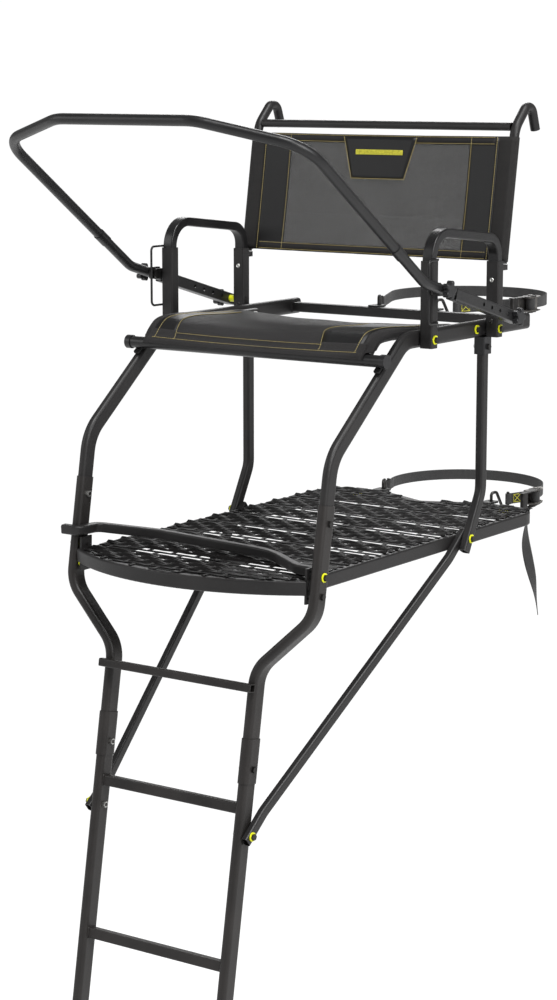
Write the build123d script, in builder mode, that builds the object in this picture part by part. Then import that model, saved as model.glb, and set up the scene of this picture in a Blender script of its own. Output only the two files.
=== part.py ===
from build123d import *
from math import atan2, cos, degrees, hypot, pi, radians, sin
import os

# Ladder tree stand. Millimetres, +Z up. The user climbs facing +Y, with +X at the right hand.
# The origin is on the bark, at the front of the trunk, at the height of the seat side rails.

# ---- driving dimensions --------------------------------------------------------------------
lean = 0.176             # rearward slope of the ladder, per unit of height
frame_x = 309            # middle of each side frame
ladder_x = 184           # middle of each ladder rail
front_y = -906           # ladder line at the height of the platform bolts
platform_z = -442        # height of the platform bolts
rail_w = 22              # ladder tube, across
rail_d = 40              # ladder tube, front to rear
rail_wall = 1.6
collar_wall = 1.8
frame_w = 18.4           # side frame tube, slides into the ladder tube
frame_d = 36.4
tube_wall = 1.6
fit_gap = 0.2            # play of a tube inside its socket, all round
socket_top_z = -302      # top of the sockets that hold the side frames
jog_top_z = -524         # where the rails start to draw in
jog_bottom_z = -642      # where they run straight again
collar_z = -779          # top of the first ladder collar
collar_length = 90
rung_pitch = 319         # height between rungs
first_rung_z = -921
rungs_per_section = 5
rung_size = 22
foot_z = -3940           # ground

seat_z = 0               # middle of the seat side rails
rail_rear_y = -90        # rear end of the side rails
leg_y = -282             # rear legs
leg_bolt = (-335, -454.6)  # y, z of the bolt through leg, brace and platform
brace_foot_z = -972      # height of the bolt through brace and ladder

deck_top_z = -448.5      # top of the platform tubes
deck_tube_w = 20
deck_tube_h = 30
deck_x = 276             # middle of each platform side tube
deck_front_y = -930      # where the front bow starts
deck_bow = 82            # how far the front bow stands out
deck_rear_y = 28         # middle of the rear tube
notch_half = 132         # tree notch, half its width
notch_depth = 60

post_x = 335.8           # middle of each armrest post
post_w = 30
post_d = 25
post_wall = 2.5
post_front_y = -545
post_rear_y = -276
post_top_front_z = 162
post_top_rear_z = 145
arch_front_z = 222.7     # corners of the armrest, before rounding
arch_rear_z = 193.6
arch_front_r = 54
arch_rear_r = 42

pivot = (-278, 28)       # y, z of the shooting rail pivot
clamp_y = -565           # height clamp bolt
elbow = (-633, 125)      # y, z of the bend in each arm
corner = (-1040, 406)    # y, z of the outer corners
crown = (-1124, 454)     # y, z of the front bar
arm_line_x = 378         # middle of each shooting rail arm
corner_x = 370
crown_x = 169
rail_tube_r = 11
joint_share = 0.24       # where the tube joint lies between elbow and corner
clamp_bolt_r = 3
guide_x = 358            # middle of each wire guide
guide_rod_r = 2.5
guide_front_y = -584
guide_low_z = 35
guide_high_z = 165

back_x = 338             # middle of each backrest upright
back_tube_r = 10.5
back_foot = (-249, 138)  # y, z
back_high = (-202.4, 424)
back_top = (-158, 468)
back_bend = (-132, 470)
back_tip = (-115, 424)
cloth_low_z = 142
cloth_high_z = 406

seat_tube_r = 11
seat_x = 280             # middle of each seat side tube
seat_bar = (-700, -32)   # y, z of the front bar
seat_bar_r = 12.5
seat_bar_half = 330
hinge = (-319, 0)        # y, z of the seat hinge

trunk_r = 185            # the tree that the stand is strapped to
trunk_y = 185
strap_w = 25
strap_t = 1.6
bolt_r = 4
hole_r = 4.2
pad_t = 4.4              # rubber pads under the seat bar
pin_fit = 0.05           # play of a pivot bolt in its hole

os.makedirs("parts", exist_ok=True)


def save(part, name):
    """Label one finished node and write its file."""
    part.label = name
    export_step(part, f"parts/{name}.step")


def ladder_y(z):
    """Middle of the ladder rails, front to rear, at height z."""
    return front_y + lean * (z - platform_z)


def tube(points, radii, across, width, depth, wall, round_off):
    """A rounded rectangular tube along a path; width is measured along the direction across."""
    with BuildPart() as swept:
        with BuildLine() as route:
            if radii:
                FilletPolyline(*points, radius=radii)
            else:
                Polyline(*points)
        start = Plane(origin=route.line @ 0, x_dir=across, z_dir=route.line % 0)
        with BuildSketch(start):
            RectangleRounded(width, depth, round_off)
            if wall:
                inner_round = max(round_off - wall, 0.5)
                RectangleRounded(width - 2 * wall, depth - 2 * wall, inner_round, mode=Mode.SUBTRACT)
        sweep()
    return swept.part


def round_tube(points, radii, radius, wall):
    """A round tube, or a rod where wall is 0, along a path."""
    with BuildPart() as swept:
        with BuildLine() as route:
            if radii:
                FilletPolyline(*points, radius=radii)
            else:
                Polyline(*points)
        with BuildSketch(Plane(origin=route.line @ 0, z_dir=route.line % 0)):
            Circle(radius)
            if wall:
                Circle(radius - wall, mode=Mode.SUBTRACT)
        sweep()
    return swept.part


def drill_x(x, y, z, radius=hole_r, length=80):
    """Cut a hole along X through the part that is open."""
    with Locations((x, y, z)):
        Cylinder(radius, length, rotation=(0, 90, 0), mode=Mode.SUBTRACT)


def plate_yz(x, thickness, outline):
    """A flat plate in the YZ plane, from x towards +X, with its outline as y, z points."""
    with BuildPart() as plate:
        with BuildSketch(Plane(origin=(x, 0, 0), x_dir=(0, 1, 0), z_dir=(1, 0, 0))):
            with BuildLine():
                Polyline(*outline, close=True)
            make_face()
        extrude(amount=thickness)
    return plate.part


def bolt_x(x_head, x_end, y, z, radius=bolt_r):
    """A hex bolt along X with its head outside x_head."""
    side = 1 if x_head > x_end else -1
    head = 5
    with BuildPart() as bolt:
        with BuildSketch(Plane(origin=(x_head, y, z), x_dir=(0, 1, 0), z_dir=(side, 0, 0))):
            RegularPolygon(radius * 1.7, 6)
        extrude(amount=head)
        with BuildSketch(Plane(origin=(x_head, y, z), x_dir=(0, 1, 0), z_dir=(-side, 0, 0))):
            Circle(radius)
        extrude(amount=abs(x_head - x_end))
    return bolt.part


def ring_x(x, side, y, z, outer, inner, thickness):
    """A washer or nut blank on a bolt along X, from x outwards."""
    with BuildPart() as ring:
        with BuildSketch(Plane(origin=(x, y, z), x_dir=(0, 1, 0), z_dir=(side, 0, 0))):
            Circle(outer)
            Circle(inner, mode=Mode.SUBTRACT)
        extrude(amount=thickness)
    return ring.part


def nut_x(x, side, y, z, radius=bolt_r):
    """A hex nut on a bolt along X, from x outwards."""
    with BuildPart() as nut:
        with BuildSketch(Plane(origin=(x, y, z), x_dir=(0, 1, 0), z_dir=(side, 0, 0))):
            RegularPolygon(radius * 1.7, 6)
            Circle(radius + 0.02, mode=Mode.SUBTRACT)
        extrude(amount=6)
    return nut.part


bolts = []
nuts = []
washers = []


def fasten(x_head, x_end, y, z, washer=True):
    """One bolt along X with a nut at its far end and a coloured washer under its head."""
    side = 1 if x_head > x_end else -1
    lift = 2.2 if washer else 0.2
    bolts.append(bolt_x(x_head + side * lift, x_end - side * 7, y, z))
    nuts.append(nut_x(x_end - side * 0.2, -side, y, z))
    if washer:
        washers.append(ring_x(x_head + side * 0.2, side, y, z, 9.5, bolt_r + 0.05, 1.9))


# ---- ladder --------------------------------------------------------------------------------
collar_end_z = collar_z - collar_length
spigot_z = collar_end_z + 11           # lower end of a rail inside the collar below it
section_drop = rung_pitch * rungs_per_section
pin_z = collar_z - 61
side_names = {-1: "left", 1: "right"}

for side, word in side_names.items():
    stations = [
        (side * frame_x, socket_top_z),
        (side * frame_x, jog_top_z),
        (side * ladder_x, jog_bottom_z),
        (side * ladder_x, spigot_z),
    ]
    points = [(x, ladder_y(z), z) for x, z in stations]
    rail = tube(points, [72, 72], (1, 0, 0), rail_w, rail_d, rail_wall, 9)
    with BuildPart() as top_rail:
        add(rail)
        drill_x(side * frame_x, ladder_y(platform_z), platform_z)
        drill_x(side * frame_x, ladder_y(platform_z - 38), platform_z - 38)
        drill_x(side * frame_x, ladder_y(socket_top_z - 35), socket_top_z - 35)
        drill_x(side * ladder_x, ladder_y(pin_z), pin_z)
    save(top_rail.part, f"top_rail_{word}")

ladder_rails = []
collars = []
rungs = []
for number in range(2):
    drop = number * section_drop
    start_z = spigot_z - drop - 1
    end_z = foot_z + 13 if number else spigot_z - section_drop
    for side in side_names:
        x = side * ladder_x
        points = [(x, ladder_y(z), z) for z in (start_z, end_z)]
        rail = tube(points, None, (1, 0, 0), rail_w, rail_d, rail_wall, 9)
        with BuildPart() as ladder_rail:
            add(rail)
            if number == 0:
                drill_x(x, ladder_y(brace_foot_z), brace_foot_z)
                drill_x(x, ladder_y(pin_z - section_drop), pin_z - section_drop)
        ladder_rails.append(ladder_rail.part)

        points = [(x, ladder_y(z), z) for z in (collar_z - drop, collar_end_z - drop)]
        width = rail_w + 2 * fit_gap + 2 * collar_wall
        depth = rail_d + 2 * fit_gap + 2 * collar_wall
        ring = tube(points, None, (1, 0, 0), width, depth, collar_wall, 9.2 + collar_wall)
        with BuildPart() as collar:
            add(ring)
            drill_x(x, ladder_y(pin_z - drop), pin_z - drop)
        collars.append(collar.part)
        reach = side * width / 2
        fasten(x + reach, x - reach, ladder_y(pin_z - drop), pin_z - drop, washer=False)

    for step in range(rungs_per_section):
        z = first_rung_z - drop - step * rung_pitch
        half = ladder_x - rail_w / 2 - 0.1
        points = [(-half, ladder_y(z), z), (half, ladder_y(z), z)]
        rungs.append(tube(points, None, (0, 1, -lean), rung_size, rung_size, 1.5, 3))
save(Compound(children=ladder_rails), "ladder_rails")
save(Compound(children=collars), "ladder_collars")
save(Compound(children=rungs), "ladder_rungs")

top_rung_size = 17
top_rung_z = -677
reach = (rail_d + top_rung_size) / 2 + 0.1
tilt = hypot(1, lean)
top_rung_y = ladder_y(top_rung_z) - reach / tilt
half = ladder_x + rail_w / 2
points = [(x, top_rung_y, top_rung_z + reach * lean / tilt) for x in (-half, half)]
save(tube(points, None, (0, 1, -lean), top_rung_size, top_rung_size, 1.5, 3), "top_rung")

feet = []
for side in side_names:
    y = ladder_y(foot_z)
    with BuildPart() as foot:
        with BuildSketch(Plane.XY.offset(foot_z)):
            with Locations((side * ladder_x, y)):
                RectangleRounded(60, 90, 8)
        extrude(amount=4)
        with BuildSketch(Plane.XY.offset(foot_z + 4)):
            with Locations((side * ladder_x, y + 1)):
                RectangleRounded(rail_w, rail_d, 9)
        extrude(amount=5)
    feet.append(foot.part)
save(Compound(children=feet), "ladder_feet")

# ---- side frames ---------------------------------------------------------------------------
thigh = (-740, -109)     # a point on the sloping stretch of the side frame
slope = 0.77
plug_z = socket_top_z - 80
bend_z = -212.6
rail_bolts = (post_front_y, hinge[0], post_rear_y)
for side, word in side_names.items():
    x = side * frame_x
    points = [
        (x, ladder_y(plug_z), plug_z),
        (x, ladder_y(bend_z), bend_z),
        (x, thigh[0] + (seat_z - thigh[1]) / slope, seat_z),
        (x, rail_rear_y, seat_z),
    ]
    bar = tube(points, [95, 75], (1, 0, 0), frame_w, frame_d, tube_wall, 8)
    with BuildPart() as side_frame:
        add(bar)
        drill_x(x, ladder_y(socket_top_z - 35), socket_top_z - 35)
        for y in rail_bolts:
            drill_x(x, y, seat_z)
    save(side_frame.part, f"side_frame_{word}")
    fasten(side * (frame_x + rail_w / 2), side * (frame_x - rail_w / 2),
           ladder_y(socket_top_z - 35), socket_top_z - 35, washer=False)

caps = []
for side in side_names:
    mouth = Plane(origin=(side * frame_x, rail_rear_y + 0.1, seat_z), x_dir=(1, 0, 0), z_dir=(0, 1, 0))
    with BuildPart() as cap:
        with BuildSketch(mouth):
            RectangleRounded(frame_w, frame_d, 8)
        extrude(amount=4)
        with BuildSketch(mouth):
            RectangleRounded(frame_w - 3.6, frame_d - 3.6, 7)
        extrude(amount=-14)
    caps.append(cap.part)

# ---- rear cross bar and strap tabs -----------------------------------------------------------
cross_y = -112
cross_z = -1
cross_size = 22
half = frame_x - frame_w / 2 - 0.1
points = [(-half, cross_y, cross_z), (half, cross_y, cross_z)]
save(tube(points, None, (0, 1, 0), cross_size, cross_size, 1.5, 3), "rear_cross_bar")

tab_t = 4
upper_tab = (78, cross_y + 22, cross_z + cross_size / 2 + 0.1)
lower_tab = (150, deck_rear_y + 20, deck_top_z + 0.1)
tabs = []
for x, y, z in (upper_tab, lower_tab):
    for side in side_names:
        with BuildPart() as tab:
            with BuildSketch(Plane.XY.offset(z)):
                with Locations((side * x, y - 8)):
                    RectangleRounded(30, 38, 6)
                with Locations((side * x, y)):
                    Circle(6, mode=Mode.SUBTRACT)
            extrude(amount=tab_t)
        tabs.append(tab.part)
save(Compound(children=tabs), "strap_tabs")

# ---- rear legs, clips and braces -------------------------------------------------------------
leg_w = 18
leg_d = 25
leg_x = 312
leg_top_z = seat_z - frame_d / 2 - 0.1
leg_bend_z = -357
clip_z = -40
legs = []
clips = []
for side in side_names:
    x = side * leg_x
    points = [
        (x, leg_y, leg_top_z),
        (x, leg_y, leg_bend_z),
        (x, leg_bolt[0] - 14, leg_bolt[1] - 27),
    ]
    bar = tube(points, [60], (1, 0, 0), leg_w, leg_d, 1.5, 5)
    with BuildPart() as leg:
        add(bar)
        drill_x(x, *leg_bolt)
        drill_x(x, leg_y, clip_z)
    legs.append(leg.part)
    with BuildPart() as clip:
        with BuildSketch(Plane.XY.offset(clip_z - 16)):
            with Locations((x, leg_y)):
                RectangleRounded(leg_w + 8, leg_d + 8, 3)
                RectangleRounded(leg_w + 0.6, leg_d + 0.6, 4, mode=Mode.SUBTRACT)
        extrude(amount=leg_top_z - clip_z + 16)
        drill_x(x, leg_y, clip_z)
    clips.append(clip.part)
    fasten(side * (leg_x + leg_w / 2 + 4), side * (leg_x - leg_w / 2 - 4), leg_y, clip_z, washer=False)
save(Compound(children=legs), "rear_legs")
save(Compound(children=clips), "leg_clips")

brace_w = 15
brace_d = 22
brace_top_x = deck_x + deck_tube_w / 2 + brace_w / 2 + 0.4
brace_foot_x = ladder_x + rail_w / 2 + brace_w / 2 + 0.4
brace_foot = (ladder_y(brace_foot_z), brace_foot_z)
run = hypot(brace_foot[0] - leg_bolt[0], brace_foot[1] - leg_bolt[1])
along = ((brace_foot[0] - leg_bolt[0]) / run, (brace_foot[1] - leg_bolt[1]) / run)
straight = 62            # straight stretch at each end of a brace
overhang = 16
for side, word in side_names.items():
    ends = [
        (side * brace_top_x, -overhang),
        (side * brace_top_x, straight),
        (side * brace_foot_x, run - straight),
        (side * brace_foot_x, run + overhang),
    ]
    points = [(x, leg_bolt[0] + along[0] * s, leg_bolt[1] + along[1] * s) for x, s in ends]
    bar = tube(points, [120, 120], (1, 0, 0), brace_w, brace_d, 1.5, 4)
    with BuildPart() as brace:
        add(bar)
        drill_x(points[0][0], *leg_bolt, length=40)
        drill_x(points[3][0], *brace_foot, length=40)
    save(brace.part, f"brace_{word}")
    fasten(side * (leg_x + leg_w / 2), side * (deck_x - deck_tube_w / 2), *leg_bolt)
    fasten(side * (brace_foot_x + brace_w / 2), side * (ladder_x - rail_w / 2), *brace_foot)

# ---- platform --------------------------------------------------------------------------------
deck_mid_z = deck_top_z - deck_tube_h / 2
deck_sides = []
joint_x = notch_half + 18
for side in side_names:
    x = side * deck_x
    points = [
        (x, deck_front_y, deck_mid_z),
        (x, deck_rear_y, deck_mid_z),
        (side * (joint_x + 0.1), deck_rear_y, deck_mid_z),
    ]
    bar = tube(points, [55], (0, 0, 1), deck_tube_h, deck_tube_w, 1.6, 4)
    with BuildPart() as deck_side:
        add(bar)
        drill_x(x, *leg_bolt)
    deck_sides.append(deck_side.part)
save(Compound(children=deck_sides), "platform_sides")

bow_r = (deck_x ** 2 + deck_bow ** 2) / (2 * deck_bow)
bow_y = deck_front_y - deck_bow + bow_r
half_angle = degrees(atan2(deck_x, bow_y - deck_front_y)) + 4
with BuildPart() as front_bow:
    with BuildLine() as bow_line:
        CenterArc((0, bow_y, deck_mid_z), bow_r, 270 - half_angle, 2 * half_angle)
    with BuildSketch(Plane(origin=bow_line.line @ 0, x_dir=(0, 0, 1), z_dir=bow_line.line % 0)):
        RectangleRounded(deck_tube_h, deck_tube_w, 4)
        RectangleRounded(deck_tube_h - 3.2, deck_tube_w - 3.2, 2.4, mode=Mode.SUBTRACT)
    sweep()
    split(bisect_by=Plane(origin=(0, deck_front_y - 0.1, 0), z_dir=(0, -1, 0)))
save(front_bow.part, "platform_front_bow")

points = [
    (-joint_x, deck_rear_y, deck_mid_z),
    (-notch_half, deck_rear_y, deck_mid_z),
    (0, deck_rear_y - notch_depth, deck_mid_z),
    (notch_half, deck_rear_y, deck_mid_z),
    (joint_x, deck_rear_y, deck_mid_z),
]
save(tube(points, [16, 22, 16], (0, 0, 1), deck_tube_h, deck_tube_w, 1.6, 4), "platform_notch_bar")

beam_size = 22
beam_z = deck_top_z - deck_tube_h + beam_size / 2
beam_front_y = deck_front_y - deck_bow + deck_tube_w / 2 + 0.4
beam_rear_y = deck_rear_y - notch_depth - deck_tube_w / 2 - 0.6
points = [(0, beam_front_y, beam_z), (0, beam_rear_y, beam_z)]
save(tube(points, None, (1, 0, 0), beam_size, beam_size, 1.5, 3), "platform_center_beam")

cross_bars = []
for y in (-898, -640, -380, -120):
    for side in side_names:
        inner = beam_size / 2 + 0.1
        outer = deck_x - deck_tube_w / 2 - 0.1
        points = [(side * inner, y, beam_z), (side * outer, y, beam_z)]
        cross_bars.append(tube(points, None, (0, 1, 0), beam_size, beam_size, 1.5, 3))
save(Compound(children=cross_bars), "platform_cross_bars")

grate_t = 2.4
grate_z = deck_top_z + 0.1
grate_half = deck_x + 4
grate_rear_y = deck_rear_y - deck_tube_w / 2 - 4
slot_pitch = 62
band_pitch = 58
with BuildPart() as grate:
    with BuildSketch(Plane.XY.offset(grate_z)):
        with BuildLine():
            start = (-grate_half, deck_front_y + 6)
            end = (grate_half, deck_front_y + 6)
            ThreePointArc(start, (0, deck_front_y - deck_bow - 4), end)
            Polyline(end, (grate_half, grate_rear_y), (notch_half - 6, grate_rear_y),
                     (0, grate_rear_y - notch_depth), (6 - notch_half, grate_rear_y),
                     (-grate_half, grate_rear_y), start)
        make_face()
        for row in range(16):
            shift = slot_pitch / 2 * (row % 2)
            with Locations((shift / 2 - slot_pitch / 4, -80 - band_pitch * row)):
                with GridLocations(slot_pitch, 1, 8, 1):
                    SlotOverall(50, 16, mode=Mode.SUBTRACT)
    extrude(amount=grate_t)
save(grate.part, "platform_grate")

plate_t = 5
plate_y = ladder_y(platform_z - 19)
brackets = []
for side in side_names:
    inner = deck_x + deck_tube_w / 2 + 0.1
    x = inner if side > 0 else -inner - plate_t
    low = platform_z - 55
    high = platform_z + 17
    outline = [(plate_y - 17, low), (plate_y + 17, low), (plate_y + 20, high), (plate_y - 14, high)]
    blank = plate_yz(x, plate_t, outline)
    with BuildPart() as bracket:
        add(blank)
        for z in (platform_z, platform_z - 38):
            drill_x(side * deck_x, ladder_y(z), z)
    brackets.append(bracket.part)

spacers = []
for side in side_names:
    for z in (platform_z, platform_z - 38):
        x_plate = side * (deck_x + deck_tube_w / 2 + plate_t + 0.2)
        spacers.append(ring_x(x_plate, side, ladder_y(z), z, 10, bolt_r + 0.05, 6.4))
        lift = 2.2 if z == platform_z else 0.2
        head_x = side * (frame_x + rail_w / 2)
        bolts.append(bolt_x(head_x + side * lift, side * (deck_x + deck_tube_w / 2 + 0.5), ladder_y(z), z))
        if z == platform_z:
            washers.append(ring_x(head_x + side * 0.2, side, ladder_y(z), z, 9.5, bolt_r + 0.05, 1.9))

# ---- foot rest bar ---------------------------------------------------------------------------
points = [
    (deck_x + deck_tube_w / 2, -892, -435.5),
    (248, -892, -435.5),
    (130, -816, -431),
    (-160, -818, -420),
    (-288.4, -868, -411),
    (-288.4, -932, -409.5),
    (-328, -932, -409.5),
]
save(tube(points, [60, 150, 150, 22, 12], (0, 0, 1), 20, 18, 1.5, 4), "foot_rest_bar")

# ---- armrests --------------------------------------------------------------------------------
posts = []
for side, word in side_names.items():
    x = side * post_x
    for y, top in ((post_front_y, post_top_front_z), (post_rear_y, post_top_rear_z)):
        bar = tube([(x, y, -18), (x, y, top)], None, (1, 0, 0), post_w, post_d, post_wall, 4)
        with BuildPart() as post:
            add(bar)
            drill_x(x, y, seat_z)
            if y == post_rear_y:
                drill_x(x, *pivot)
        posts.append(post.part)
        fasten(side * (post_x + post_w / 2), side * (frame_x - frame_w / 2), y, seat_z)
    points = [
        (x, post_front_y, 96),
        (x, post_front_y, arch_front_z),
        (x, post_rear_y, arch_rear_z),
        (x, post_rear_y, 62),
    ]
    arch_w = post_w - 2 * post_wall - 0.4
    arch_d = post_d - 2 * post_wall - 0.4
    arch = tube(points, [arch_front_r, arch_rear_r], (1, 0, 0), arch_w, arch_d, 1.5, 3)
    save(arch, f"armrest_{word}")
save(Compound(children=posts), "armrest_posts")

guides = []
for side in side_names:
    face = side * (post_x + post_w / 2 + 0.1)
    x = side * guide_x
    points = [
        (face, post_front_y + 8, guide_high_z),
        (x, post_front_y - 4, guide_high_z),
        (x, guide_front_y, guide_high_z),
        (x, guide_front_y, guide_low_z),
        (x, post_front_y - 4, guide_low_z),
        (face, post_front_y + 8, guide_low_z),
    ]
    wire = round_tube(points, [6, 10, 10, 6], guide_rod_r, 0)
    with BuildPart() as guide:
        add(wire)
        split(bisect_by=Plane(origin=(face, 0, 0), z_dir=(side, 0, 0)))
    guides.append(guide.part)
save(Compound(children=guides), "rail_guides")

# ---- backrest --------------------------------------------------------------------------------
uprights = []
for side in side_names:
    points = [(side * back_x, y, z) for y, z in (back_foot, back_high, back_top, back_bend, back_tip)]
    uprights.append(round_tube(points, [55, 16, 20], back_tube_r, 1.5))
    y, z = back_tip
    last_run = (0, back_tip[0] - back_bend[0], back_tip[1] - back_bend[1])
    with BuildPart() as cap:
        with BuildSketch(Plane(origin=(side * back_x, y, z), z_dir=last_run)):
            Circle(back_tube_r)
        extrude(amount=4)
    caps.append(cap.part)
save(Compound(children=uprights), "backrest_uprights")
save(Compound(children=caps), "tube_end_caps")

recline = (back_high[0] - back_foot[0]) / (back_high[1] - back_foot[1])
bar_z = 428
bar_y = -199
inner = back_x - back_tube_r - 0.1
points = [(-inner, bar_y, bar_z), (inner, bar_y, bar_z)]
save(round_tube(points, None, 9, 1.5), "backrest_cross_bar")

sleeve_r = back_tube_r + 3
sag = 16
cloth_t = 2.4
cloth_start = (0, back_foot[0] + recline * (cloth_low_z - back_foot[1]), cloth_low_z)
cloth_plane = Plane(origin=cloth_start, x_dir=(1, 0, 0), z_dir=(0, recline, 1))
cloth_length = (cloth_high_z - cloth_low_z) * hypot(1, recline)
with BuildPart() as back_sling:
    with BuildSketch(cloth_plane):
        with BuildLine():
            front = -sleeve_r + 0.4
            ThreePointArc((-back_x, front), (0, front + sag), (back_x, front))
            Line((back_x, front), (back_x, front + cloth_t))
            ThreePointArc((back_x, front + cloth_t), (0, front + cloth_t + sag), (-back_x, front + cloth_t))
            Line((-back_x, front + cloth_t), (-back_x, front))
        make_face()
        with Locations((-back_x, 0), (back_x, 0)):
            Circle(sleeve_r)
        with Locations((-back_x, 0), (back_x, 0)):
            Circle(back_tube_r + 0.4, mode=Mode.SUBTRACT)
    extrude(amount=cloth_length)
save(back_sling.part, "backrest_sling")

# each upright stands on a small shelf behind its armrest post
shelves = []
for side in side_names:
    front = post_rear_y + post_d / 2 + 0.1
    rear = back_foot[0] + back_tube_r
    with BuildPart() as shelf:
        with BuildSketch(Plane.XY.offset(back_foot[1] - 14)):
            with Locations((side * back_x, (front + rear) / 2)):
                RectangleRounded(18, rear - front, 3)
        extrude(amount=11.5)
    shelves.append(shelf.part)
save(Compound(children=brackets + shelves), "frame_brackets")

# ---- webbing, hooks and ratchets ---------------------------------------------------------------
hook_r = 3.5
hooks = []
loops = []
frames = []
levels = {"upper": (upper_tab, -13), "lower": (lower_tab, -4)}
web_r = trunk_r + strap_t / 2
eye_reach = 52           # from the tab's hole to the eye of the webbing
ratchets = {}
for level, (tab, turn) in levels.items():
    tab_x, tab_y, tab_z = tab
    mid_z = tab_z + 3
    gap = hypot(tab_x, trunk_y - tab_y)
    reach = (gap ** 2 - web_r ** 2) ** 0.5
    heading = atan2(trunk_y - tab_y, -tab_x) - atan2(web_r, reach)
    ahead = (cos(heading), sin(heading))
    touch = (tab_x + ahead[0] * reach, tab_y + ahead[1] * reach)
    eye = (tab_x + ahead[0] * eye_reach, tab_y + ahead[1] * eye_reach)
    start = (eye[0] + ahead[0] * 5, eye[1] + ahead[1] * 5)
    with BuildPart() as web:
        with BuildLine() as web_line:
            Line((start[0], start[1], mid_z), (touch[0], touch[1], mid_z))
            behind = (0, trunk_y + web_r, mid_z)
            ThreePointArc((touch[0], touch[1], mid_z), behind, (-touch[0], touch[1], mid_z))
            Line((-touch[0], touch[1], mid_z), (-start[0], start[1], mid_z))
        with BuildSketch(Plane(origin=web_line.line @ 0, x_dir=(0, 0, 1), z_dir=web_line.line % 0)):
            Rectangle(strap_w, strap_t)
        sweep()
        with BuildSketch(Plane.XY.offset(mid_z - strap_w / 2)):
            with Locations((eye[0], eye[1]), (-eye[0], eye[1])):
                Circle(6.4)
        extrude(amount=strap_w)
        with BuildSketch(Plane.XY.offset(mid_z - strap_w / 2)):
            with Locations((eye[0], eye[1]), (-eye[0], eye[1])):
                Circle(4.6)
        extrude(amount=strap_w, mode=Mode.SUBTRACT)
    save(web.part, f"{level}_strap")

    for side in side_names:
        stations = [(0, -9), (0, 23), (16, 23), (36, -17), (eye_reach, -17), (eye_reach, 20)]
        points = [(side * (tab_x + ahead[0] * s), tab_y + ahead[1] * s, tab_z + z) for s, z in stations]
        hooks.append(round_tube(points, [7, 7, 7, 7], hook_r, 0))

    angle = radians(turn)
    outward = (cos(angle), sin(angle))
    place = (outward[0] * (web_r + strap_t), trunk_y + outward[1] * (web_r + strap_t))
    ratchets[level] = (place, outward, mid_z)
save(Compound(children=hooks), "strap_hooks")

plate_gap = 15           # half the room between the ratchet's side plates
spool_out = 15
handle_length = 88
for level, (place, outward, mid_z) in ratchets.items():
    forward = (outward[1], -outward[0])        # along the strap, towards the user
    base = Plane(origin=(place[0], place[1], mid_z), x_dir=(*forward, 0), z_dir=(0, 0, 1))
    out = -1 if base.y_dir.X * outward[0] + base.y_dir.Y * outward[1] < 0 else 1

    for sign in (-1, 1):
        with BuildPart() as cheek:
            with BuildSketch(base.offset(sign * (plate_gap + 1) - 1)):
                with BuildLine():
                    Polyline((-34, out * 1), (34, out * 1), (34, out * 10), (14, out * 24), (-12, out * 24),
                             (-34, out * 12), close=True)
                make_face()
                with Locations((4, out * spool_out)):
                    Circle(6 + pin_fit, mode=Mode.SUBTRACT)
            extrude(amount=2)
        frames.append(cheek.part)
    with BuildPart() as floor_plate:
        with BuildSketch(base.offset(-plate_gap + 0.1)):
            with Locations((0, out * 2)):
                Rectangle(66, 2)
        extrude(amount=2 * plate_gap - 0.2)
    frames.append(floor_plate.part)

    with BuildPart() as spool:
        with BuildSketch(base.offset(-plate_gap - 6)):
            with Locations((4, out * spool_out)):
                Circle(6)
        extrude(amount=2 * plate_gap + 12)
        with BuildSketch(base.offset(-strap_w / 2 - 0.5)):
            with Locations((4, out * spool_out)):
                Rectangle(20, 2.4)
        extrude(amount=strap_w + 1, mode=Mode.SUBTRACT)
        for low in (-plate_gap + 0.3, plate_gap - 1.8):
            with BuildSketch(base.offset(low)):
                with Locations((4, out * spool_out)):
                    with PolarLocations(9, 10):
                        Rectangle(4, 3.2)
                    Circle(9)
            extrude(amount=1.5)
    save(spool.part, f"{level}_ratchet_spool")

    with BuildPart() as handle:
        for low in (-plate_gap - 4.4, plate_gap + 2.4):
            with BuildSketch(base.offset(low)):
                with BuildLine():
                    Polyline((-6, out * 6), (20, out * 6), (40, out * 20), (handle_length, out * 24),
                             (handle_length, out * 36), (34, out * 33), (8, out * 25), (-8, out * 22),
                             close=True)
                make_face()
                with Locations((4, out * spool_out)):
                    Circle(6 + pin_fit, mode=Mode.SUBTRACT)
            extrude(amount=2)
        with BuildSketch(base.offset(-plate_gap - 2.4)):
            with Locations((handle_length - 12, out * 30)):
                RectangleRounded(22, 11, 5)
        extrude(amount=2 * plate_gap + 4.8)
    save(handle.part, f"{level}_ratchet_handle")
save(Compound(children=frames), "ratchet_frames")

loop_x = 202
loop_w = 30
for side in side_names:
    start = (side * loop_x - loop_w / 2, deck_rear_y, deck_mid_z)
    with BuildPart() as loop:
        with BuildSketch(Plane(origin=start, x_dir=(0, 1, 0), z_dir=(1, 0, 0))):
            RectangleRounded(deck_tube_w + 4.6, deck_tube_h + 4.6, 5)
            RectangleRounded(deck_tube_w + 0.6, deck_tube_h + 0.6, 4, mode=Mode.SUBTRACT)
        extrude(amount=loop_w)
    loops.append(loop.part)
save(Compound(children=loops), "webbing_loops")

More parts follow.
